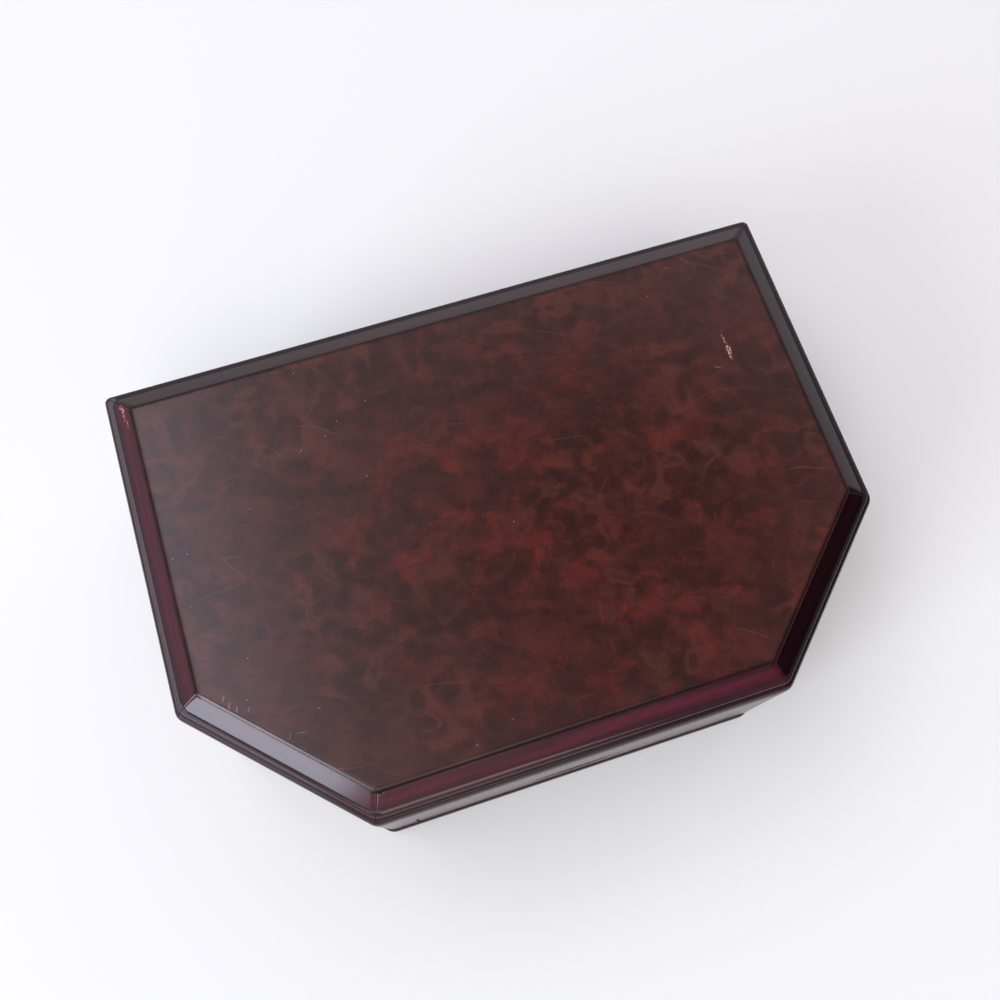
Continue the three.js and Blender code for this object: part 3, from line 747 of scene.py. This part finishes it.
inset = None
for side in ("front", "right_cant", "right", "back", "left"):
    outwards = place.node("VectorMath", {0: place, 1: way_out[side]}, out="Value",
                          operation="DOT_PRODUCT")
    from_side = lid_edge(side) / MM - outwards
    inset = from_side if inset is None else inset.math("MINIMUM", inset, from_side)
# Painted shade round the panel's edge, except at the left cant.
painted_edge_shade = EDGE_SHADE_SHARE * (1 - inset.between(*EDGE_SHADE_BAND))
edge_shaded = painted_edge_shade.mix(flecked, EDGE_SHADE_DARK)

# Dust lies in a few of the cells of a random net. Chips go through to the wood, and
# scratches only into the lacquer.
DUST_CELL = 5.5
DUST_PALE = colour(190, 176, 172)
dust_cells = place.node("TexVoronoi", {"Vector": place, "Scale": 1 / DUST_CELL}, out="Distance")
dust_pick = place.node("TexVoronoi", {"Vector": place, "Scale": 1 / DUST_CELL}, out="Color")
dust_rare = dust_pick.node("SeparateColor", {"Color": dust_pick}, out="Green").between(0.86, 0.88)
dust = (1 - dust_cells.between(0.025, 0.05)) * dust_rare

CHIPS = ((116.3, 40.6, 4.3, 1.1, 86), (116.0, 46.4, 3.2, 0.55, 94), (116.2, 50.6, 0.8, 0.3, 70))
SCRATCHES = ((-131.1, -40.5, 1.5, 0.25, 70), (-129.5, -43.9, 1.6, 0.3, 76),
             (-127.0, -46.2, 1.6, 0.3, 70), (-122.4, -47.4, 1.3, 0.18, 58),
             (-104.9, -62.5, 2.4, 0.14, -12), (-75.7, 51.5, 1.3, 0.2, 35),
             (-109.7, -62.4, 1.6, 0.14, 70), (-122.3, -43.7, 0.35, 0.3, 0),
             (108.8, 34.7, 2.1, 0.24, -17))
chips = marks(place, CHIPS)
scratches = marks(place, SCRATCHES)
dusty = (dust * 0.7 + scratches * 0.24).mix(edge_shaded, DUST_PALE)
peel = place.noise(1.8, detail=2.0)
relief = peel * 0.25 - chips - scratches * 0.4
surface(place, Base_Color=chips.mix(dusty, bare_wood(place)), Roughness=0.40 + 0.3 * chips,
        Specular_IOR_Level=UNDER_LACQUER, Coat_Weight=(1 - chips) * (1 - painted_edge_shade),
        Coat_Roughness=0.22,
        Normal=place.node("Bump", {"Height": relief, "Strength": 0.12, "Distance": 0.0003}))

# The panel's edge starts a hair under the end of the cove and rounds over from there, with
# its corners drawn out to the mitres.
PANEL_ARRIS = 0.12 * MM
PANEL_START = 11.3 * MM
PANEL_FLAT = 13.4 * MM
EDGE_LOW = 2.8 * MM
EDGE_SLACK = 0.028 * MM
EDGE_RISE = 1.15 * MM
TOWARDS = 0.2


def flush_edge(mesh):
    """Slides each point of the panel's edge along its spoke from the middle of the panel."""
    low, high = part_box("lid_panel")
    middle = (low + high) / 2
    edges = {side: lid_edge(side) for side in SIDES}
    for vertex in mesh.vertices:
        below = LID_TOP - vertex.co.z
        over = 1 - math.sqrt(1 - (1 - min(1.0, below / EDGE_LOW)) ** 2)
        if below < EDGE_LOW + EDGE_SLACK:
            vertex.co.z = LID_TOP - EDGE_RISE * (1 - over) ** 2
        wanted = PANEL_START + (PANEL_FLAT - PANEL_START) * over
        spoke = Vector((vertex.co.x - middle.x, vertex.co.y - middle.y, 0)).normalized()
        vertex.co += spoke * min((edges[side] - wanted - way.dot(vertex.co)) / way.dot(spoke)
                                 for side, way in way_out.items() if way.dot(spoke) > TOWARDS)


finished("lid_panel", burl, PANEL_ARRIS, reshape=flush_edge)

# Mirror under the lid: a sheet of silvered glass in the opening of the rails, held by six
# mitred mahogany beads pinned round it.
GLASS_EDGE = 0.3 * MM
silvered, place = new_material("silvered_glass")
haze = place.warped(40, 20).noise(30, detail=3.0).between(0.45, 0.8)
surface(place, Base_Color=haze.mix(colour(232, 236, 238), colour(222, 227, 228)), Metallic=1.0,
        Roughness=0.02 + 0.03 * haze)
finished("lid_mirror", silvered, GLASS_EDGE)
for side in SIDES:
    finished("mirror_bead_" + side, lid_lacquer_shaded[side], RAIL_ARRIS, way_out[side])
